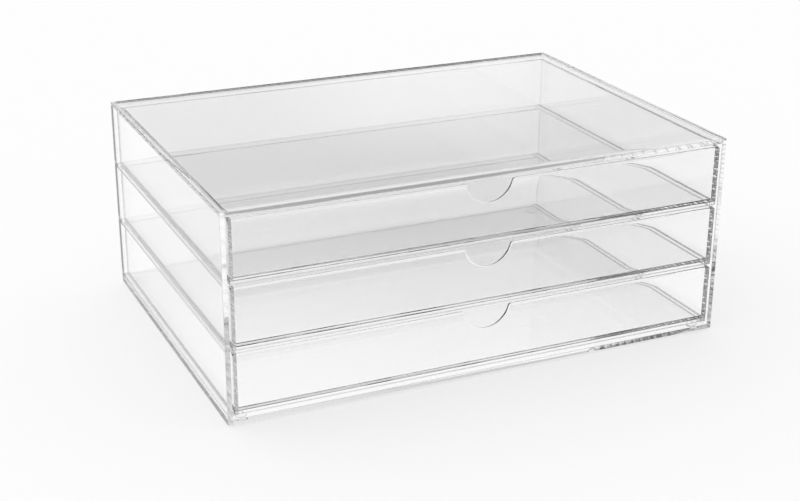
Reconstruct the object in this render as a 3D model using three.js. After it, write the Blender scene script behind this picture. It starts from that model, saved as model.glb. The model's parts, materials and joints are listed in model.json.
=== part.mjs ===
// Clear acrylic unit with three drawers, built up from flat sheets.
//
// The case is two sides, a top, a base and a back, glued edge to face. Three pairs of
// narrow strips on the sides carry three equal drawers. A drawer is a front, a back,
// two walls and a floor. Its front hangs a little below its floor as a lip, and has a
// rounded finger notch in its top edge.
//
// Millimetres, Z up. The origin is on the surface that the feet stand on, under the
// middle of the case. X runs to the right, seen from the front, and Y to the back.

import * as THREE from 'three';

// Overall size
const OVERALL_WIDTH = 328;
const OVERALL_DEPTH = 230;
const OVERALL_HEIGHT = 130;
const DRAWER_COUNT = 3;

// Sheets
const CASE_SHEET = 3;
const DRAWER_SHEET = 2.5;

// Feet
const FOOT_HEIGHT = 1.5;
const FOOT_DIAMETER = 7;
const FOOT_TIP_DIAMETER = 6.2;
const FOOT_TIP_EDGE_HEIGHT = 0.4;
const FOOT_FROM_SIDE = 10;
const FOOT_FROM_FRONT = 7.5;
const FOOT_SIDES = 48;

// Gaps round the drawers
const FRONT_GAP = 1.8;
const GAP_UNDER_LOWEST_FRONT = 2.5;
const DRAWER_SIDE_GAP = 1.5;
const DRAWER_BACK_GAP = 3.5;
const SLIDING_CLEARANCE = 0.1;
const LIP_TO_STRIP_CLEARANCE = 0.5;

// Strips that carry the drawers
const STRIP_WIDTH = 4.5;
const STRIP_HEIGHT = 3;

// Lip of the drawer front, below the floor
const LIP_DROP = 1.4;

// Finger notch in the drawer front
const NOTCH_RADIUS = 15;
const NOTCH_DEPTH = 13;
const NOTCH_SHOULDER_RADIUS = 2.5;
const NOTCH_ARC_STEPS = 40;

// Heights worked out from the sizes above
const baseUnderside = FOOT_HEIGHT;
const baseTop = baseUnderside + CASE_SHEET;
const topUnderside = OVERALL_HEIGHT - CASE_SHEET;
const insideHeight = topUnderside - baseTop;
const frontHeight = (insideHeight - GAP_UNDER_LOWEST_FRONT) / DRAWER_COUNT - FRONT_GAP;
const drawerPitch = frontHeight + FRONT_GAP;

// Lengths and widths worked out from the sizes above
const frontFace = -OVERALL_DEPTH / 2;
const backFace = OVERALL_DEPTH / 2;
const rightFace = OVERALL_WIDTH / 2;
const insideRight = rightFace - CASE_SHEET;
const insideBack = backFace - CASE_SHEET;
const drawerRight = insideRight - DRAWER_SIDE_GAP;
const drawerBack = insideBack - DRAWER_BACK_GAP;
const stripFront = frontFace + DRAWER_SHEET + LIP_TO_STRIP_CLEARANCE;

// Clear materials of the two thicknesses of sheet and of the soft feet
function clearMaterial(color, opacity, roughness) {
  return new THREE.MeshStandardMaterial({
    color,
    roughness,
    metalness: 0,
    transparent: true,
    opacity,
  });
}

const caseAcrylic = () => clearMaterial(0xf4f7f8, 0.3, 0.04);
const drawerAcrylic = () => clearMaterial(0xf0f4f6, 0.25, 0.05);
const softFoot = () => clearMaterial(0xe4e6e6, 0.6, 0.45);

// A flat sheet or strip between two opposite corners
function sheet(name, low, high, material) {
  const size = high.map((value, axis) => value - low[axis]);
  const mesh = new THREE.Mesh(new THREE.BoxGeometry(...size), material);
  mesh.name = name;
  mesh.position.set(...high.map((value, axis) => (value + low[axis]) / 2));
  return mesh;
}

// The same sheet on the left and on the right of the middle
function pair(baseName, low, high, makeMaterial) {
  const right = sheet(`${baseName}_right`, low, high, makeMaterial());
  const mirroredLow = [-high[0], low[1], low[2]];
  const mirroredHigh = [-low[0], high[1], high[2]];
  const left = sheet(`${baseName}_left`, mirroredLow, mirroredHigh, makeMaterial());
  return [left, right];
}

// Case: the sides run the full height, and the top, base and back fit between them
function makeCase() {
  const group = new THREE.Group();
  group.add(...pair(
    'case_side',
    [insideRight, frontFace, baseUnderside],
    [rightFace, backFace, OVERALL_HEIGHT],
    caseAcrylic,
  ));
  group.add(sheet(
    'case_top',
    [-insideRight, frontFace, topUnderside],
    [insideRight, backFace, OVERALL_HEIGHT],
    caseAcrylic(),
  ));
  group.add(sheet(
    'case_base',
    [-insideRight, frontFace, baseUnderside],
    [insideRight, backFace, baseTop],
    caseAcrylic(),
  ));
  group.add(sheet(
    'case_back',
    [-insideRight, insideBack, baseTop],
    [insideRight, backFace, topUnderside],
    caseAcrylic(),
  ));
  return group;
}

// Underside of a drawer front, counted from the lowest drawer
function frontUnderside(level) {
  return baseTop + GAP_UNDER_LOWEST_FRONT + level * drawerPitch;
}

// Strips: one pair for each drawer, glued to the sides, with their front ends just
// behind the lip, which they stop when the drawer is closed
function makeStrips(level, drawerName) {
  const stripTop = frontUnderside(level) + LIP_DROP;
  return pair(
    `${drawerName}_strip`,
    [insideRight - STRIP_WIDTH, stripFront, stripTop - STRIP_HEIGHT],
    [insideRight, insideBack, stripTop],
    caseAcrylic,
  );
}

// Outline of the drawer front, seen from the front, with its middle at zero and its
// lower edge at zero. The notch is one arc, and each shoulder is a smaller arc that
// meets it and the top edge without a corner.
function frontOutline() {
  const notchCentre = frontHeight - NOTCH_DEPTH + NOTCH_RADIUS;
  const shoulderHeight = frontHeight - NOTCH_SHOULDER_RADIUS;
  const reach = NOTCH_RADIUS + NOTCH_SHOULDER_RADIUS;
  const shoulderX = Math.sqrt(reach ** 2 - (notchCentre - shoulderHeight) ** 2);
  const meeting = Math.atan2(shoulderHeight - notchCentre, shoulderX);
  const quarter = Math.PI / 2;

  const outline = new THREE.Shape();
  outline.moveTo(-drawerRight, 0);
  outline.lineTo(drawerRight, 0);
  outline.lineTo(drawerRight, frontHeight);
  outline.absarc(
    shoulderX, shoulderHeight, NOTCH_SHOULDER_RADIUS, quarter, Math.PI + meeting, false,
  );
  outline.absarc(0, notchCentre, NOTCH_RADIUS, meeting, -Math.PI - meeting, true);
  outline.absarc(
    -shoulderX, shoulderHeight, NOTCH_SHOULDER_RADIUS, -meeting, quarter, false,
  );
  outline.lineTo(-drawerRight, frontHeight);
  outline.closePath();
  return outline;
}

// Drawer front: the outline, as thick as the drawer sheet, stood upright
function makeDrawerFront(name, underside) {
  const geometry = new THREE.ExtrudeGeometry(frontOutline(), {
    depth: DRAWER_SHEET,
    bevelEnabled: false,
    curveSegments: NOTCH_ARC_STEPS,
  });
  const mesh = new THREE.Mesh(geometry, drawerAcrylic());
  mesh.name = name;
  mesh.rotation.x = Math.PI / 2;
  mesh.position.set(0, frontFace + DRAWER_SHEET, underside);
  return mesh;
}

// Drawer: the walls and the floor stand between the front and the back, and slide on
// the strips
function makeDrawer(level, drawerName) {
  const underside = frontUnderside(level);
  const wallUnderside = underside + LIP_DROP + SLIDING_CLEARANCE;
  const wallTop = underside + frontHeight;
  const insideFront = frontFace + DRAWER_SHEET;
  const backInside = drawerBack - DRAWER_SHEET;
  const wallInside = drawerRight - DRAWER_SHEET;

  const group = new THREE.Group();
  group.add(makeDrawerFront(`${drawerName}_front`, underside));
  group.add(sheet(
    `${drawerName}_back`,
    [-drawerRight, backInside, wallUnderside],
    [drawerRight, drawerBack, wallTop],
    drawerAcrylic(),
  ));
  group.add(...pair(
    `${drawerName}_wall`,
    [wallInside, insideFront, wallUnderside],
    [drawerRight, backInside, wallTop],
    drawerAcrylic,
  ));
  group.add(sheet(
    `${drawerName}_floor`,
    [-wallInside, insideFront, wallUnderside],
    [wallInside, backInside, wallUnderside + DRAWER_SHEET],
    drawerAcrylic(),
  ));
  return group;
}

// Foot: a soft round pad under a corner of the base, a little narrower at its tip
function makeFoot(name, x, y) {
  const profile = [
    new THREE.Vector2(0, 0),
    new THREE.Vector2(FOOT_TIP_DIAMETER / 2, 0),
    new THREE.Vector2(FOOT_DIAMETER / 2, FOOT_TIP_EDGE_HEIGHT),
    new THREE.Vector2(FOOT_DIAMETER / 2, FOOT_HEIGHT),
    new THREE.Vector2(0, FOOT_HEIGHT),
  ];
  const geometry = new THREE.LatheGeometry(profile, FOOT_SIDES);
  const mesh = new THREE.Mesh(geometry, softFoot());
  mesh.name = name;
  mesh.rotation.x = Math.PI / 2;
  mesh.position.set(x, y, 0);
  return mesh;
}

function makeFeet() {
  const group = new THREE.Group();
  const footX = rightFace - FOOT_FROM_SIDE;
  const footY = backFace - FOOT_FROM_FRONT;
  for (const [endName, y] of [['front', -footY], ['back', footY]]) {
    for (const [sideName, x] of [['left', -footX], ['right', footX]]) {
      group.add(makeFoot(`foot_${endName}_${sideName}`, x, y));
    }
  }
  return group;
}

// Names of the drawers, from the lowest up
function drawerNames() {
  const names = [];
  for (let level = 0; level < DRAWER_COUNT; level += 1) {
    names.push(`drawer_${level + 1}`);
  }
  return names;
}

const unit = new THREE.Group();
unit.add(makeCase());
unit.add(makeFeet());
drawerNames().forEach((drawerName, level) => {
  unit.add(...makeStrips(level, drawerName));
  unit.add(makeDrawer(level, drawerName));
});

export default unit;
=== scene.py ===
# %% [markdown]
# # A clear acrylic drawer unit
#
# This lesson dresses a small chest made from clear acrylic sheet: an open-fronted case with
# three drawers that slide on narrow strips. Everything is see-through, so the look comes
# almost wholly from light that travels inside the sheets and leaves at their edges.
#
# The frame below holds the exact sheets as plain solids. Each one is remade here at its own
# size and place, with the rounded cut edges and slightly uneven faces of real sheet.

# %% Load the frame
import json
import math

import bmesh
import bpy
from mathutils import Matrix, Vector


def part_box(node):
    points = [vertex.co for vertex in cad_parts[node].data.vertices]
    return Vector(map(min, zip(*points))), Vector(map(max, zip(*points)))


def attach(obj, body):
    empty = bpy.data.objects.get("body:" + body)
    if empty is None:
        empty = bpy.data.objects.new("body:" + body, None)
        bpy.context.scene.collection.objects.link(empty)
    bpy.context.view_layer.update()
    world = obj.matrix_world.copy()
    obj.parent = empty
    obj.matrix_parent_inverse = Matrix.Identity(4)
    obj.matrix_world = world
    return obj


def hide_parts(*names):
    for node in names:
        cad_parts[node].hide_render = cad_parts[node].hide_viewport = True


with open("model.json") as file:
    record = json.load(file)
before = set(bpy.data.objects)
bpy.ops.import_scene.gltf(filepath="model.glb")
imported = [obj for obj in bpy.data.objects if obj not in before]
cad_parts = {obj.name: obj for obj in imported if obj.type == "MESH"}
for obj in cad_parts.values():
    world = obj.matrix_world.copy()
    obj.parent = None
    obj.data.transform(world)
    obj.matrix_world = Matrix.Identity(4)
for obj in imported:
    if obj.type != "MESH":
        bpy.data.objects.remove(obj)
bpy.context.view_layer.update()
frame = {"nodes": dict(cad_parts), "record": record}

# %% [markdown]
# ## Units and axes
#
# Blender works in metres. The sizes of acrylic parts are easier to read in millimetres, so
# each is written as a number of millimetres. X runs to the right, Y to the back and Z up.
# Blender numbers them 0, 1 and 2, and the names below stand for those numbers.

# %% Millimetres and axes
MM = 0.001
AXES = "xyz"
X, Y, Z = range(len(AXES))
print("1 mm is", MM, "m")

# %% [markdown]
# ## How the sheets are joined
#
# On the real unit a thin solvent is run into each joint. It melts both faces, and they set as
# one piece, so light passes from sheet to sheet as if there were no joint at all. Two faces
# that only touch would leave a film of air between them, which acts as a mirror for light
# inside the sheet. The glued ends of each sheet are therefore made to reach a hair's breadth
# into the neighbour that they are glued to.
#
# The table names the glued sides of each kind of sheet by the way that they face.

# %% Glued sides
JOINT_BITE = 0.02 * MM

GLUED_SIDES = {
    "case_side_left": "",
    "case_side_right": "",
    "case_top": "-x +x",
    "case_base": "-x +x",
    "case_back": "-x +x -z +z",
    "strip_left": "-x +y",
    "strip_right": "+x +y",
    "front": "",
    "back": "",
    "wall_left": "-y +y",
    "wall_right": "-y +y",
    "floor": "-x +x -y +y",
}


def kind_of(node):
    """The kind of a sheet: drawer_1_strip_left is a strip_left, case_top is itself."""
    if node.startswith("case"):
        return node
    return node.split("_", maxsplit=2)[-1]


def glued_sides(node):
    """The glued sides of a sheet, as pairs of an axis number and -1 or 1."""
    sides = []
    for side in GLUED_SIDES[kind_of(node)].split():
        sign = -1 if side.startswith("-") else 1
        sides.append((AXES.index(side[-1]), sign))
    return sides


print("glued sides of the case back:", glued_sides("case_back"))

# %% [markdown]
# ## Working in edit mode
#
# Every tool acts on all that is selected, so each step starts with nothing selected and then
# picks its faces, edges or corners by where they are.
#
# A face counts as looking along an axis if nearly all of its unit normal lies along it.

# %% Selecting by place
ALONG_AXIS = 0.99


def only(piece):
    """Leaves this piece alone selected and active."""
    bpy.ops.object.select_all(action="DESELECT")
    piece.select_set(True)
    bpy.context.view_layer.objects.active = piece


def pick(piece, kind, wanted):
    """In edit mode, selects the faces, edges or corners that are wanted, and counts them."""
    bpy.ops.mesh.select_all(action="DESELECT")
    bpy.ops.mesh.select_mode(type=kind)
    shape = bmesh.from_edit_mesh(piece.data)
    elements = {"VERT": shape.verts, "EDGE": shape.edges, "FACE": shape.faces}[kind]
    count = 0
    for element in elements:
        if wanted(element):
            element.select_set(True)
            count += 1
    shape.select_flush_mode()
    bmesh.update_edit_mesh(piece.data)
    return count


def faces_side(face, axis, sign):
    """Whether a face looks along this axis."""
    return face.normal[axis] * sign > ALONG_AXIS


# %% [markdown]
# ## One sheet
#
# A sheet starts as a cube primitive at the sheet's own size and place. Its cut edges are then
# rounded over by a bevel. Real cut edges are scraped and polished, which takes about a fifth
# of a millimetre off each corner. An edge that is glued is left sharp, because the joint fills
# its corner.

# %% Rounded edges
EDGE_ROUND = 0.2 * MM
EDGE_ROUND_STEPS = 2
ROUND_PROFILE = 0.5
SQUARE_EDGE_ANGLE = math.radians(60)


def new_block(name, low, high):
    """A block between two corners, with its place in its mesh."""
    bpy.ops.object.select_all(action="DESELECT")
    bpy.ops.mesh.primitive_cube_add(size=1, location=(low + high) / 2, scale=high - low)
    piece = bpy.context.object
    piece.name = piece.data.name = name
    bpy.ops.object.transform_apply(location=True, rotation=True, scale=True)
    return piece


def round_free_edges(piece, glued, wanted=lambda edge: True, width=EDGE_ROUND,
                     steps=EDGE_ROUND_STEPS):
    """Bevels each wanted square edge between two faces that aren't glued."""

    def is_glued(face):
        return any(faces_side(face, axis, sign) for axis, sign in glued)

    def is_free(edge):
        if len(edge.link_faces) != 2 or edge.calc_face_angle() < SQUARE_EDGE_ANGLE:
            return False
        return wanted(edge) and not any(is_glued(face) for face in edge.link_faces)

    only(piece)
    bpy.ops.object.mode_set(mode="EDIT")
    if pick(piece, "EDGE", is_free):
        bpy.ops.mesh.bevel(offset=width, segments=steps, profile=ROUND_PROFILE)
    bpy.ops.object.mode_set(mode="OBJECT")


print("free edges are rounded by", EDGE_ROUND / MM, "mm")

# %% [markdown]
# ## Swollen edges
#
# Seen through the front of a drawer, straight lines behind it bend in an S close to its top
# edge. Cutting and polishing with heat swells the rim of a sheet, so the last few millimetres
# are slightly thicker than the middle, and work as a weak lens. The drawer fronts and the top
# and base of the case are made so. The sheet is cut across near both ends, and the corners of
# one face are then sunk a little, the more the further they are from the edge.
#
# The depth may differ between the left and the right end of a sheet. Two faces that aren't
# quite parallel change how often light is mirrored on its way to the front edge, and so how
# grey that edge looks.

# %% A face with a raised rim
RIM_WIDTH = 7 * MM
RIM_CUT_SHARES = (0.11, 0.19, 0.29, 0.42, 0.57, 0.76, 1.0)
RING_TOLERANCE = 0.02 * RIM_WIDTH


def along(axis, length):
    """A step of this length along one axis."""
    step = [0, 0, 0]
    step[axis] = length
    return step


def rim_share(distance):
    """How much of the full depth the face has sunk at this distance from the edge."""
    share = min(distance / RIM_WIDTH, 1)
    return 1 - (1 - share) ** 2


def raise_rim(piece, face_axis, face_sign, across, left_depth, right_depth):
    """Sinks one face of a sheet, except along its two edges at the ends of the across axis."""
    corners = [vertex.co for vertex in piece.data.vertices]
    low = min(corner[across] for corner in corners)
    high = max(corner[across] for corner in corners)
    face_place = max(corner[face_axis] * face_sign for corner in corners)
    cuts = [low + RIM_WIDTH * share for share in RIM_CUT_SHARES]
    cuts += [high - RIM_WIDTH * share for share in RIM_CUT_SHARES]

    only(piece)
    bpy.ops.object.mode_set(mode="EDIT")
    for cut in cuts:
        bpy.ops.mesh.select_all(action="SELECT")
        bpy.ops.mesh.bisect(plane_co=along(across, cut), plane_no=along(across, 1))

    def on_ring(distance, end):
        def wanted(vertex):
            near = min(vertex.co[across] - low, high - vertex.co[across])
            on_face = vertex.co[face_axis] * face_sign > face_place - EDGE_ROUND / 2
            on_end = vertex.co.x * end > 0
            return on_face and on_end and abs(min(near, RIM_WIDTH) - distance) < RING_TOLERANCE
        return wanted

    for share in RIM_CUT_SHARES:
        for end, depth in ((-1, left_depth), (1, right_depth)):
            step = along(face_axis, -face_sign * depth * rim_share(RIM_WIDTH * share))
            if pick(piece, "VERT", on_ring(RIM_WIDTH * share, end)):
                bpy.ops.transform.translate(value=step)
    bpy.ops.object.mode_set(mode="OBJECT")


print("rim:", [round(rim_share(RIM_WIDTH * share), 3) for share in RIM_CUT_SHARES])

# %% [markdown]
# ## Smooth edges on flat sheets
#
# Smooth shading blends the normals of neighbouring faces, which rounds off the bevels but
# would also bend the reflections in a flat face near them. Weighted normals let the large
# faces win, so the flat ones stay truly flat.

# %% Smooth shading
SMOOTH_ANGLE = math.radians(50)


def smooth(piece):
    """Smooth rounded edges and rims, with the flat faces kept truly flat."""
    only(piece)
    bpy.ops.object.shade_smooth_by_angle(angle=SMOOTH_ANGLE)
    weighted = piece.modifiers.new("flat faces stay flat", "WEIGHTED_NORMAL")
    weighted.keep_sharp = True
    bpy.ops.object.modifier_apply(modifier=weighted.name)


print("edges up to", round(math.degrees(SMOOTH_ANGLE)), "degrees are shaded smooth")

# %% [markdown]
# ## Taking a node's place
#
# A remade piece stands in for a node of the frame. It moves with the node's body, and the
# node's material slot later picks its sheet material. The frame's record says which these are.

# %% Handing a piece over
sheets = {}


def body_of(node):
    """The body that a node belongs to."""
    bodies = frame["record"]["behaviour"]["bodies"]
    return next(body for body, nodes in bodies.items() if node in nodes)


def slot_of(node):
    """The material slot of a node."""
    subparts = frame["record"]["subparts"]
    return next(subpart["material_slot"] for subpart in subparts if subpart["node"] == node)


def hand_over(piece, node):
    """The piece takes the node's place and moves with its body."""
    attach(piece, body_of(node))
    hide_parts(node)
    sheets[node] = piece


print("case_top is on", body_of("case_top"), "in slot", slot_of("case_top"))

# %% [markdown]
# ## Joint lines
#
# Most of a solvent joint can't be seen. Along its upper and lower edges, where the solvent
# dries first, it is often cloudy. On the floor of a drawer this shows as thin dark lines below
# the front. Two cuts across the floor set these lines off from the rest of its glued sides,
# so that they can get a material of their own.

# %% Cuts for the joint lines
JOINT_LINE = 0.6 * MM


def score_joints(piece, node):
    """Cuts a piece across just under its upper face and just above its lower face."""
    low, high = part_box(node)
    only(piece)
    bpy.ops.object.mode_set(mode="EDIT")
    for height in (low.z + JOINT_LINE, high.z - JOINT_LINE):
        bpy.ops.mesh.select_all(action="SELECT")
        bpy.ops.mesh.bisect(plane_co=along(Z, height), plane_no=along(Z, 1))
    bpy.ops.object.mode_set(mode="OBJECT")


print("joint lines:", JOINT_LINE / MM, "mm tall")

# %% [markdown]
# ## Making the sheets
#
# The same steps make every flat sheet and strip: a block that reaches into its glued
# neighbours, rounded free edges, and smooth shading. The drawer floors get their joint lines
# in between, and the top and base of the case their swollen rims. The depths of those rims,
# at the left and the right end, were tried out until the front edges came near the photo's
# greys.

# %% Sheets and strips
CASE_RIM_DEPTHS = {"case_top": (0.25 * MM, 0.46 * MM), "case_base": (0.05 * MM, 0.35 * MM)}


def make_sheet(node, ending):
    """Remakes a flat sheet or strip from the box of its node."""
    low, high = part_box(node)
    glued = glued_sides(node)
    for axis, sign in glued:
        if sign > 0:
            high[axis] += JOINT_BITE
        else:
            low[axis] -= JOINT_BITE
    piece = new_block(f"{node}_{ending}", low, high)
    round_free_edges(piece, glued)
    return piece


for node in sorted(frame["nodes"]):
    if node.startswith("foot") or node.endswith("front"):
        continue
    piece = make_sheet(node, "rail" if "strip" in node else "sheet")
    if node.endswith("floor"):
        score_joints(piece, node)
    if node in CASE_RIM_DEPTHS:
        raise_rim(piece, Z, 1, Y, *CASE_RIM_DEPTHS[node])
    smooth(piece)
    hand_over(piece, node)
print("flat sheets and strips:", len(sheets))

# %% [markdown]
# ## Copying an outline
#
# The front of a drawer has the finger notch, whose outline the frame already holds. So a front
# isn't made from a block, but from a copy of its solid. Corners that lie on each other are
# merged, and the triangles are dissolved into whole faces, which a bevel needs.

# %% Copy of a solid
MERGE_DISTANCE = 0.001 * MM
FLAT_ANGLE = math.radians(0.5)


def copy_of(node, name):
    """A copy of a node's solid with merged corners and whole flat faces."""
    mesh = frame["nodes"][node].data.copy()
    mesh.materials.clear()
    piece = bpy.data.objects.new(name, mesh)
    mesh.name = name
    bpy.context.scene.collection.objects.link(piece)
    only(piece)
    bpy.ops.object.mode_set(mode="EDIT")
    bpy.ops.mesh.select_all(action="SELECT")
    bpy.ops.mesh.remove_doubles(threshold=MERGE_DISTANCE)
    bpy.ops.mesh.dissolve_limited(angle_limit=FLAT_ANGLE)
    bpy.ops.object.mode_set(mode="OBJECT")
    return piece


print("merged within", MERGE_DISTANCE / MM, "mm")

# %% [markdown]
# ## Drawer fronts
#
# The top edge and the notch are what fingers touch, so they are rounded far more than the
# other edges, and catch a wider line of light. They are bevelled first and the rest after
# them. Then the outer face gets the raised rim, along its top and its bottom.

# %% Fronts with a finger notch
FINGER_ROUND = 1.1 * MM
FINGER_ROUND_STEPS = 4
NOTCH_REACH = 25 * MM
RIM_HEIGHT = 0.35 * MM


def is_finger_edge(edge, top):
    """Whether an edge runs along the top of a front or round its notch."""

    def is_near(corner):
        in_notch = corner.z > top - NOTCH_REACH and abs(corner.x) < NOTCH_REACH
        return in_notch or corner.z > top - EDGE_ROUND

    return all(is_near(vertex.co) for vertex in edge.verts)


for node in sorted(frame["nodes"]):
    if not node.endswith("_front"):
        continue
    piece = copy_of(node, f"{node}_plate")
    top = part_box(node)[1].z
    round_free_edges(
        piece, [], lambda edge: is_finger_edge(edge, top), FINGER_ROUND, FINGER_ROUND_STEPS,
    )
    round_free_edges(piece, [], lambda edge: not is_finger_edge(edge, top))
    raise_rim(piece, Y, -1, Z, RIM_HEIGHT, RIM_HEIGHT)
    smooth(piece)
    hand_over(piece, node)
    print(piece.name, len(piece.data.polygons), "faces")

# %% [markdown]
# ## Feet
#
# Each foot is a soft clear pad, stuck under the base. It starts as a cylinder, its lower rim
# is rounded by a bevel, and its tip is pressed slightly hollow, as moulded pads are. Its glue
# wets the base, so the pad too reaches into the sheet above it.

# %% Pads under the base
FOOT_SIDES = 48
FOOT_ROUND = 0.5 * MM
FOOT_ROUND_STEPS = 4
FOOT_DIMPLE_INSET = 1.1 * MM
FOOT_DIMPLE_DEPTH = 0.12 * MM


def make_foot(node):
    """A round pad with a rounded lower rim and a shallow dimple in its tip."""
    low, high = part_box(node)
    high.z += JOINT_BITE
    bpy.ops.object.select_all(action="DESELECT")
    bpy.ops.mesh.primitive_cylinder_add(
        vertices=FOOT_SIDES,
        radius=(high.x - low.x) / 2,
        depth=high.z - low.z,
        location=(low + high) / 2,
    )
    piece = bpy.context.object
    piece.name = piece.data.name = f"{node}_pad"
    bpy.ops.object.transform_apply(location=True, rotation=True, scale=True)
    bpy.ops.object.mode_set(mode="EDIT")
    pick(piece, "EDGE", lambda edge: all(v.co.z < low.z + FOOT_ROUND / 2 for v in edge.verts))
    bpy.ops.mesh.bevel(offset=FOOT_ROUND, segments=FOOT_ROUND_STEPS, profile=ROUND_PROFILE)
    pick(piece, "FACE", lambda face: faces_side(face, Z, -1))
    bpy.ops.mesh.inset(thickness=FOOT_DIMPLE_INSET, depth=-FOOT_DIMPLE_DEPTH)
    bpy.ops.object.mode_set(mode="OBJECT")
    return piece


for node in sorted(frame["nodes"]):
    if node.startswith("foot"):
        piece = make_foot(node)
        smooth(piece)
        hand_over(piece, node)
print("pieces:", len(sheets), "for", len(frame["nodes"]), "nodes")

# %% [markdown]
# ## Building blocks of the materials
#
# Every material of the unit is clear, so each starts from the same shader, which lets light
# through and bends it by acrylic's index of 1.49. What sets them apart is their patterns. A
# noise pattern is fixed to the piece, with so many features to the metre. It works either as
# a bump, which tilts the surface, or spread over a range of values, such as roughnesses.

# %% Shader, noise, bump and spread
ACRYLIC_IOR = 1.49
PATTERN_MIDDLE = (0.3, 0.7)


def shader_parts(name, color):
    """A new clear material, with its node tree and its Principled shader."""
    material = bpy.data.materials.new(name)
    material.use_nodes = True
    tree = material.node_tree
    shader = tree.nodes["Principled BSDF"]
    shader.inputs["Base Color"].default_value = (*color, 1)
    shader.inputs["Transmission Weight"].default_value = 1
    shader.inputs["IOR"].default_value = ACRYLIC_IOR
    return material, tree, shader


def noise(tree, scale, detail, stretch=(1, 1, 1)):
    """A noise pattern on object coordinates, with so many features to the metre."""
    coordinates = tree.nodes.new("ShaderNodeTexCoord")
    mapping = tree.nodes.new("ShaderNodeMapping")
    mapping.inputs["Scale"].default_value = stretch
    pattern = tree.nodes.new("ShaderNodeTexNoise")
    pattern.inputs["Scale"].default_value = scale
    pattern.inputs["Detail"].default_value = detail
    tree.links.new(coordinates.outputs["Object"], mapping.inputs["Vector"])
    tree.links.new(mapping.outputs["Vector"], pattern.inputs["Vector"])
    return pattern.outputs["Fac"]


def bump(tree, shader, height, depth):
    """Tilts the surface as if the pattern stood up by this depth in metres."""
    node = tree.nodes.new("ShaderNodeBump")
    node.inputs["Strength"].default_value = 1
    node.inputs["Distance"].default_value = depth
    tree.links.new(height, node.inputs["Height"])
    tree.links.new(node.outputs["Normal"], shader.inputs["Normal"])


def spread(tree, value, lowest, highest, pattern_range=PATTERN_MIDDLE):
    """Maps a range of a pattern, its middle if no other is given, to a range of values."""
    node = tree.nodes.new("ShaderNodeMapRange")
    node.inputs["From Min"].default_value = pattern_range[0]
    node.inputs["From Max"].default_value = pattern_range[1]
    node.inputs["To Min"].default_value = lowest
    node.inputs["To Max"].default_value = highest
    tree.links.new(value, node.inputs["Value"])
    return node.outputs["Result"]


print("index of refraction:", ACRYLIC_IOR)

# %% [markdown]
# ## Clear acrylic
#
# Acrylic is almost perfectly clear. What makes it look real is that its faces aren't perfect:
# they wave by less than a hundredth of a millimetre every few centimetres, and wiping leaves
# faint marks in their gloss. A noise far larger than the sheet's thickness gives the wave. A
# second one, drawn out along the unit's width, sets where the marks are. The marks change the
# roughness, not the shape.

# %% Acrylic sheet
SHEET_COLOR = (0.998, 0.998, 0.998)
WAVE_PER_METRE = 18
WAVE_DEPTH = 0.008 * MM
MARKS_PER_METRE = 60
MARKS_STRETCH = (1, 4, 4)
MARKS_RANGE = (0.55, 0.8)
MARKS_ROUGHNESS = 0.004


def make_acrylic(name):
    """Clear sheet: a slow wave, and a bloom of wiping marks in its gloss."""
    material, tree, shader = shader_parts(name, SHEET_COLOR)
    bump(tree, shader, noise(tree, WAVE_PER_METRE, detail=0), WAVE_DEPTH)
    marks = noise(tree, MARKS_PER_METRE, detail=3, stretch=MARKS_STRETCH)
    gloss = spread(tree, marks, 0, MARKS_ROUGHNESS, MARKS_RANGE)
    tree.links.new(gloss, shader.inputs["Roughness"])
    return material


case_acrylic = make_acrylic("case_acrylic_sheet")
drawer_acrylic = make_acrylic("drawer_acrylic_sheet")
print("sheets:", case_acrylic.name, "and", drawer_acrylic.name)

# %% [markdown]
# ## Cut edges
#
# A sheet's narrow faces are cut and then polished, and keep fine ripples from the cutter. The
# light trapped in the sheet comes out here, and the ripples break it into the bright and dark
# dashes that tell an acrylic edge from a glass one. The front edges of the case's sides show
# larger swirls than the others, so the ripples of the sides are wider and ten times as deep.

# %% Edge materials
EDGE_COLOR = (0.99, 0.99, 0.99)
RIPPLE_PER_METRE = 160
RIPPLE_DEPTH = 0.002 * MM
SIDE_RIPPLE_PER_METRE = 120
SIDE_RIPPLE_DEPTH = 0.02 * MM
EDGE_GLOSS_PER_METRE = 90
EDGE_ROUGHNESS = 0.004


def make_edge(name, per_metre, depth):
    """Polished cut edge: cutter's ripples and a slightly softer gloss."""
    material, tree, shader = shader_parts(name, EDGE_COLOR)
    bump(tree, shader, noise(tree, per_metre, detail=1), depth)
    gloss = spread(tree, noise(tree, EDGE_GLOSS_PER_METRE, detail=2), 0, EDGE_ROUGHNESS)
    tree.links.new(gloss, shader.inputs["Roughness"])
    return material


cut_edge = make_edge("polished_cut_edge", RIPPLE_PER_METRE, RIPPLE_DEPTH)
side_edge = make_edge("rippled_cut_edge", SIDE_RIPPLE_PER_METRE, SIDE_RIPPLE_DEPTH)
print("edges:", cut_edge.name, "and", side_edge.name)

# %% [markdown]
# ## Glued joints
#
# The cloudy lines of a joint hold fine bubbles, and streaks that ran with the solvent, which
# take some of the light and scatter the rest. The colour of a clear material tints the light
# that passes it, so a noise pattern, drawn out along the joint, sets how much each spot takes.
# A second pattern makes the line rough, which does the scattering. Used on the glued faces of
# the strips too, this roughness would reach the front edges of the sides through the sheet and
# hide their ripples, so only the drawer floors have it.

# %% Joint material
# The shader asks for a colour when it is made, and the streaks then take its place.
JOINT_COLOR = (0.5, 0.5, 0.5)
JOINT_STREAKS_PER_METRE = 170
JOINT_STRETCH = (0.25, 0.25, 1)
JOINT_STREAKS_RANGE = (0.4, 0.58)
JOINT_DARKEST = 0.02
JOINT_LIGHTEST = 0.6
JOINT_GRAIN_PER_METRE = 400
JOINT_ROUGHNESSES = (0.35, 0.6)


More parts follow.
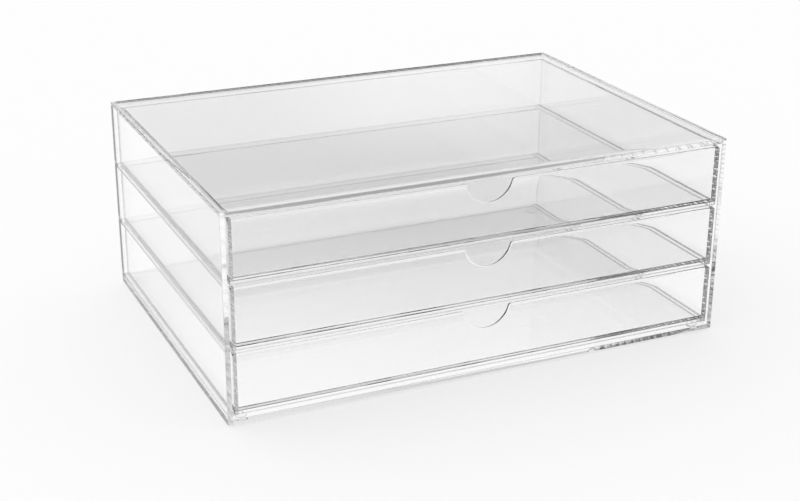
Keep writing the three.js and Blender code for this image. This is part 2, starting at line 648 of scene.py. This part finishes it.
def make_joint(name):
    """Solvent joint: streaks that take a part of the light, and a rough grain."""
    material, tree, shader = shader_parts(name, JOINT_COLOR)
    streaks = noise(tree, JOINT_STREAKS_PER_METRE, detail=3, stretch=JOINT_STRETCH)
    tint = spread(tree, streaks, JOINT_DARKEST, JOINT_LIGHTEST, JOINT_STREAKS_RANGE)
    tree.links.new(tint, shader.inputs["Base Color"])
    grain = spread(tree, noise(tree, JOINT_GRAIN_PER_METRE, detail=2), *JOINT_ROUGHNESSES)
    tree.links.new(grain, shader.inputs["Roughness"])
    return material


drawer_joint = make_joint("drawer_solvent_joint")
print("joint:", drawer_joint.name)

# %% [markdown]
# ## Sawn edges
#
# The lower edges of the drawer walls slide on the strips. They are left as the saw left them,
# finely marked and satin instead of polished, so less light comes through them and the lower
# corners of the drawers show as grey lines.

# %% Sawn material
SAWN_COLOR = (0.9, 0.9, 0.9)
SAWN_PER_METRE = 900
SAWN_DEPTH = 0.004 * MM
SATIN_PER_METRE = 300
SATIN_ROUGHNESSES = (0.2, 0.35)


def make_sawn_edge(name):
    """Sawn edge that was never polished: fine saw marks and a satin gloss."""
    material, tree, shader = shader_parts(name, SAWN_COLOR)
    bump(tree, shader, noise(tree, SAWN_PER_METRE, detail=2), SAWN_DEPTH)
    satin = spread(tree, noise(tree, SATIN_PER_METRE, detail=2), *SATIN_ROUGHNESSES)
    tree.links.new(satin, shader.inputs["Roughness"])
    return material


sawn_edge = make_sawn_edge("sawn_lower_edge")
print("sawn edge:", sawn_edge.name)

# %% [markdown]
# ## Soft pads
#
# The feet are clear soft plastic, a little milky, with a bloom of dust on the skin.

# %% Foot material
PAD_COLOR = (0.97, 0.975, 0.975)
SKIN_PER_METRE = 900
SKIN_DEPTH = 0.01 * MM
BLOOM_PER_METRE = 500
BLOOM_ROUGHNESSES = (0.03, 0.12)


def make_pad(name):
    """Soft clear pad with a fine skin."""
    material, tree, shader = shader_parts(name, PAD_COLOR)
    bump(tree, shader, noise(tree, SKIN_PER_METRE, detail=2), SKIN_DEPTH)
    bloom = spread(tree, noise(tree, BLOOM_PER_METRE, detail=3), *BLOOM_ROUGHNESSES)
    tree.links.new(bloom, shader.inputs["Roughness"])
    return material


soft_pad = make_pad("soft_clear_pad")
print("pad:", soft_pad.name)

# %% [markdown]
# ## Giving out the materials
#
# Each face of a sheet takes the first of these that fits it. The upper and lower lines of a
# drawer floor's glued front and sides are joint, and the lower faces of the drawer walls are
# sawn. The faces that look along the sheet's thin direction, its shortest side, are the broad
# ones. All that is left is cut edge.

# %% Materials on the pieces
BROAD, EDGE, JOINT, SAWN = range(4)
BROAD_FACING = 0.9
BACK_SIDE = (Y, 1)


def is_joint_line(face, node):
    """Whether a face is the upper or lower line of a drawer floor's glued front or side."""
    if not node.endswith("floor"):
        return False
    low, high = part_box(node)
    to_rim = min(face.center.z - low.z, high.z - face.center.z)
    sides = [side for side in glued_sides(node) if side != BACK_SIDE]
    return to_rim < JOINT_LINE and any(faces_side(face, axis, sign) for axis, sign in sides)


def finish_sheet(piece, node, broad):
    """The broad faces, the cut edges, the joint lines and the sawn edges get their material."""
    thin = min((X, Y, Z), key=lambda axis: piece.dimensions[axis])
    edge = side_edge if "case_side" in node else cut_edge
    for material in (broad, edge, drawer_joint, sawn_edge):
        piece.data.materials.append(material)
    for face in piece.data.polygons:
        if is_joint_line(face, node):
            face.material_index = JOINT
        elif "wall" in node and faces_side(face, Z, -1):
            face.material_index = SAWN
        elif abs(face.normal[thin]) > BROAD_FACING:
            face.material_index = BROAD
        else:
            face.material_index = EDGE


for node, piece in sheets.items():
    if node.startswith("foot"):
        piece.data.materials.append(soft_pad)
    elif slot_of(node) == "case_acrylic":
        finish_sheet(piece, node, case_acrylic)
    else:
        finish_sheet(piece, node, drawer_acrylic)
print("materials on", sum(len(piece.data.polygons) for piece in sheets.values()), "faces")

# %% [markdown]
# ## Floor
#
# The unit stands on a plain pale surface that runs out of sight, so there is no horizon. It
# lies a hair below the feet, so that their tips don't share a plane with it.
#
# For the camera, and for rays that come from a mirroring or clear surface, most of the floor
# glows plain white, and the rest is lit and keeps the unit's shadow. That makes it an even
# white with no more light on the unit. A ray can count as more than one of these, and the mix
# takes no more than 1.

# %% Floor plane
FLOOR_SIZE = 8
FLOOR_DROP = 0.02 * MM

bpy.ops.object.select_all(action="DESELECT")
bpy.ops.mesh.primitive_plane_add(size=FLOOR_SIZE, location=(0, 0, -FLOOR_DROP))
floor = bpy.context.object
floor.name = "floor"
print("floor:", FLOOR_SIZE, "m square")

# %% Floor material
FLOOR_COLOR = (0.98, 0.98, 0.98, 1)
FLOOR_ROUGHNESS = 0.8
GLOW_COLOR = (1, 1, 1, 1)
GLOW_SHARE = 0.7


def combined(tree, operation, first, second):
    """Two values added or multiplied. The second may be a plain number."""
    node = tree.nodes.new("ShaderNodeMath")
    node.operation = operation
    tree.links.new(first, node.inputs[0])
    if isinstance(second, float):
        node.inputs[1].default_value = second
    else:
        tree.links.new(second, node.inputs[1])
    return node.outputs["Value"]


floor_material = bpy.data.materials.new("pale_floor")
floor_material.use_nodes = True
floor_tree = floor_material.node_tree
floor_shader = floor_tree.nodes["Principled BSDF"]
floor_shader.inputs["Base Color"].default_value = FLOOR_COLOR
floor_shader.inputs["Roughness"].default_value = FLOOR_ROUGHNESS
floor_shader.inputs["Specular IOR Level"].default_value = 0
glow = floor_tree.nodes.new("ShaderNodeEmission")
glow.inputs["Color"].default_value = GLOW_COLOR
paths = floor_tree.nodes.new("ShaderNodeLightPath")

passed_on = combined(
    floor_tree, "ADD", paths.outputs["Is Glossy Ray"], paths.outputs["Is Transmission Ray"],
)
seen = combined(floor_tree, "ADD", paths.outputs["Is Camera Ray"], passed_on)
glow_share = combined(floor_tree, "MULTIPLY", seen, GLOW_SHARE)
blend = floor_tree.nodes.new("ShaderNodeMixShader")
floor_tree.links.new(glow_share, blend.inputs["Fac"])
floor_tree.links.new(floor_shader.outputs["BSDF"], blend.inputs[1])
floor_tree.links.new(glow.outputs["Emission"], blend.inputs[2])
floor_output = floor_tree.nodes["Material Output"]
floor_tree.links.new(blend.outputs["Shader"], floor_output.inputs["Surface"])
floor.data.materials.append(floor_material)
print("floor glows by", GLOW_SHARE)

# %% [markdown]
# ## Light
#
# A clear thing shows only what it reflects and bends, so the surroundings have to be uneven,
# as in a photographer's studio. Behind the unit hangs a wide soft backdrop, nearly white at
# the floor, grey at the height that the flat sheets mirror, pale again above that, and grey
# overhead. To the left and on the camera's side the room is dim, which gives the edges their
# dark dashes.
#
# The world's colour is worked out from the direction. A ramp over its height gives the
# backdrop. Three shares dim it: towards the front, to the left, and again far to the left. A
# narrow upright strip on the right, the corner of the room, is brighter low down and darker
# higher up.

# %% Backdrop
# Each step is a height of the direction, from level (0) to straight up (1), and its grey.
BACKDROP_STEPS = (
    (0.0, 0.95), (0.22, 0.78), (0.3, 0.56), (0.35, 0.41), (0.385, 0.43),
    (0.41, 0.56), (0.435, 0.72), (0.48, 0.78), (0.6, 0.5), (1.0, 0.4),
)

world = bpy.data.worlds.new("studio")
bpy.context.scene.world = world
world.use_nodes = True
world_tree = world.node_tree
direction = world_tree.nodes.new("ShaderNodeTexCoord")
parts = world_tree.nodes.new("ShaderNodeSeparateXYZ")
world_tree.links.new(direction.outputs["Generated"], parts.inputs["Vector"])

ramp = world_tree.nodes.new("ShaderNodeValToRGB")
stops = ramp.color_ramp.elements
ready_stops = len(stops)
for number, (height, grey) in enumerate(BACKDROP_STEPS):
    stop = stops[number] if number < ready_stops else stops.new(height)
    stop.position = height
    stop.color = (grey, grey, grey, 1)
world_tree.links.new(parts.outputs["Z"], ramp.inputs["Fac"])
print("backdrop:", len(stops), "steps")

# %% Dim sides and the corner
FRONT_FADE = (-0.3, 0.3)
FRONT_SHARE = 0.33
LEFT_FADE = (-0.2, 0.15)
LEFT_SHARE = 0.5
FAR_LEFT_FADE = (-0.5, -0.25)
FAR_LEFT_SHARE = 0.18
CORNER_START = (0.3, 0.4)
CORNER_END = (0.43, 0.53)
CORNER_HEIGHTS = (0.28, 0.34)
LOW_CORNER = 0.25
HIGH_CORNER = -0.15


def fade(part, start, end, first, last):
    """A share that goes smoothly from first to last while a part of the direction grows."""
    node = world_tree.nodes.new("ShaderNodeMapRange")
    node.interpolation_type = "SMOOTHSTEP"
    node.inputs["From Min"].default_value = start
    node.inputs["From Max"].default_value = end
    node.inputs["To Min"].default_value = first
    node.inputs["To Max"].default_value = last
    world_tree.links.new(parts.outputs[part], node.inputs["Value"])
    return node.outputs["Result"]


def times(first, second):
    """The product of two values of the world."""
    return combined(world_tree, "MULTIPLY", first, second)


surroundings = times(ramp.outputs["Color"], fade("Y", *FRONT_FADE, FRONT_SHARE, 1))
surroundings = times(surroundings, fade("X", *LEFT_FADE, LEFT_SHARE, 1))
surroundings = times(surroundings, fade("X", *FAR_LEFT_FADE, FAR_LEFT_SHARE, 1))
corner = times(fade("X", *CORNER_START, 0, 1), fade("X", *CORNER_END, 1, 0))
corner = times(corner, fade("Z", *CORNER_HEIGHTS, LOW_CORNER, HIGH_CORNER))
corner_light = times(surroundings, corner)
surroundings = combined(world_tree, "ADD", surroundings, corner_light)
print("surroundings:", len(world_tree.nodes), "nodes")

# %% [markdown]
# ## Light on the floor
#
# The floor itself is lit by a plain white room, brighter behind and to the left, so that the
# unit's soft shadow falls to the front. Light Path tells the world which ray asks.
# One that left the floor gets the light of this room, and one that the camera sent straight
# past the unit gets plain white. All the others get the surroundings from the step before.

# %% Light for the floor
WHOLE = (-1, 1)
BACK_LIGHT = 1.45
FRONT_LIGHT = 0.65
LEFT_LIGHT = 1.2
RIGHT_LIGHT = 0.8
IN_VIEW_WHITE = 1

room = times(
    fade("Y", *WHOLE, FRONT_LIGHT, BACK_LIGHT),
    fade("X", *WHOLE, LEFT_LIGHT, RIGHT_LIGHT),
)
light_path = world_tree.nodes.new("ShaderNodeLightPath")
after_floor = world_tree.nodes.new("ShaderNodeMix")
world_tree.links.new(light_path.outputs["Diffuse Depth"], after_floor.inputs["Factor"])
world_tree.links.new(surroundings, after_floor.inputs["A"])
world_tree.links.new(room, after_floor.inputs["B"])
in_view = world_tree.nodes.new("ShaderNodeMix")
world_tree.links.new(light_path.outputs["Is Camera Ray"], in_view.inputs["Factor"])
world_tree.links.new(after_floor.outputs["Result"], in_view.inputs["A"])
in_view.inputs["B"].default_value = IN_VIEW_WHITE
background = world_tree.nodes["Background"]
world_tree.links.new(in_view.outputs["Result"], background.inputs["Color"])
print("world:", len(world_tree.nodes), "nodes")

# %% [markdown]
# ## Light inside the sheets
#
# Light that is trapped in a sheet is mirrored from face to face dozens of times before it
# leaves at an edge. Blender counts each as a glossy bounce and gives up after a few, which
# leaves the edges black, so the limits are raised.

# %% Bounces
INSIDE_BOUNCES = 64

cycles = bpy.context.scene.cycles
cycles.max_bounces = INSIDE_BOUNCES
cycles.transmission_bounces = INSIDE_BOUNCES
cycles.glossy_bounces = INSIDE_BOUNCES
print("bounces:", cycles.max_bounces)

# %% [markdown]
# ## Camera
#
# The camera stands to the left of the unit and looks down on it a little, so the front, the
# top and the left side show. Its place is given by the angles and distance from a point in
# the middle of the unit, and by how far it is then moved sideways and down without turning,
# which frames the unit as the photo does.
#
# The photo's upright edges are more nearly parallel than this camera's. A large lens shift
# would match them, but a shift stays on in every other view, and would push the unit out of
# the picture there. So this camera has none, and the unit's corners lie up to 8 pixels off.

# %% Camera
AZIMUTH = math.radians(-24.48)
ELEVATION = math.radians(21.9)
ROLL = math.radians(0.27)
DISTANCE = 1001.4 * MM
AIM_HEIGHT = 65 * MM
SIDE_OFFSET = -4.8 * MM
UP_OFFSET = -23.5 * MM
LENS = 68.69
SENSOR_WIDTH = 36

backward = Vector((
    math.sin(AZIMUTH) * math.cos(ELEVATION),
    -math.cos(AZIMUTH) * math.cos(ELEVATION),
    math.sin(ELEVATION),
))
level_right = Vector((math.cos(AZIMUTH), math.sin(AZIMUTH), 0))
level_up = backward.cross(level_right)
right = level_right * math.cos(ROLL) + level_up * math.sin(ROLL)
up = level_up * math.cos(ROLL) - level_right * math.sin(ROLL)
aim = Vector((0, 0, AIM_HEIGHT))
camera_place = aim + backward * DISTANCE + right * SIDE_OFFSET + up * UP_OFFSET

camera_data = bpy.data.cameras.new("camera")
camera_data.sensor_width = SENSOR_WIDTH
camera_data.lens = LENS
camera = bpy.data.objects.new("camera", camera_data)
bpy.context.scene.collection.objects.link(camera)
turn = Matrix((right, up, backward)).transposed().to_4x4()
camera.matrix_world = Matrix.Translation(camera_place) @ turn
bpy.context.scene.camera = camera
bpy.context.scene.view_settings.view_transform = "Standard"
print("camera at", [round(value, 4) for value in camera_place])
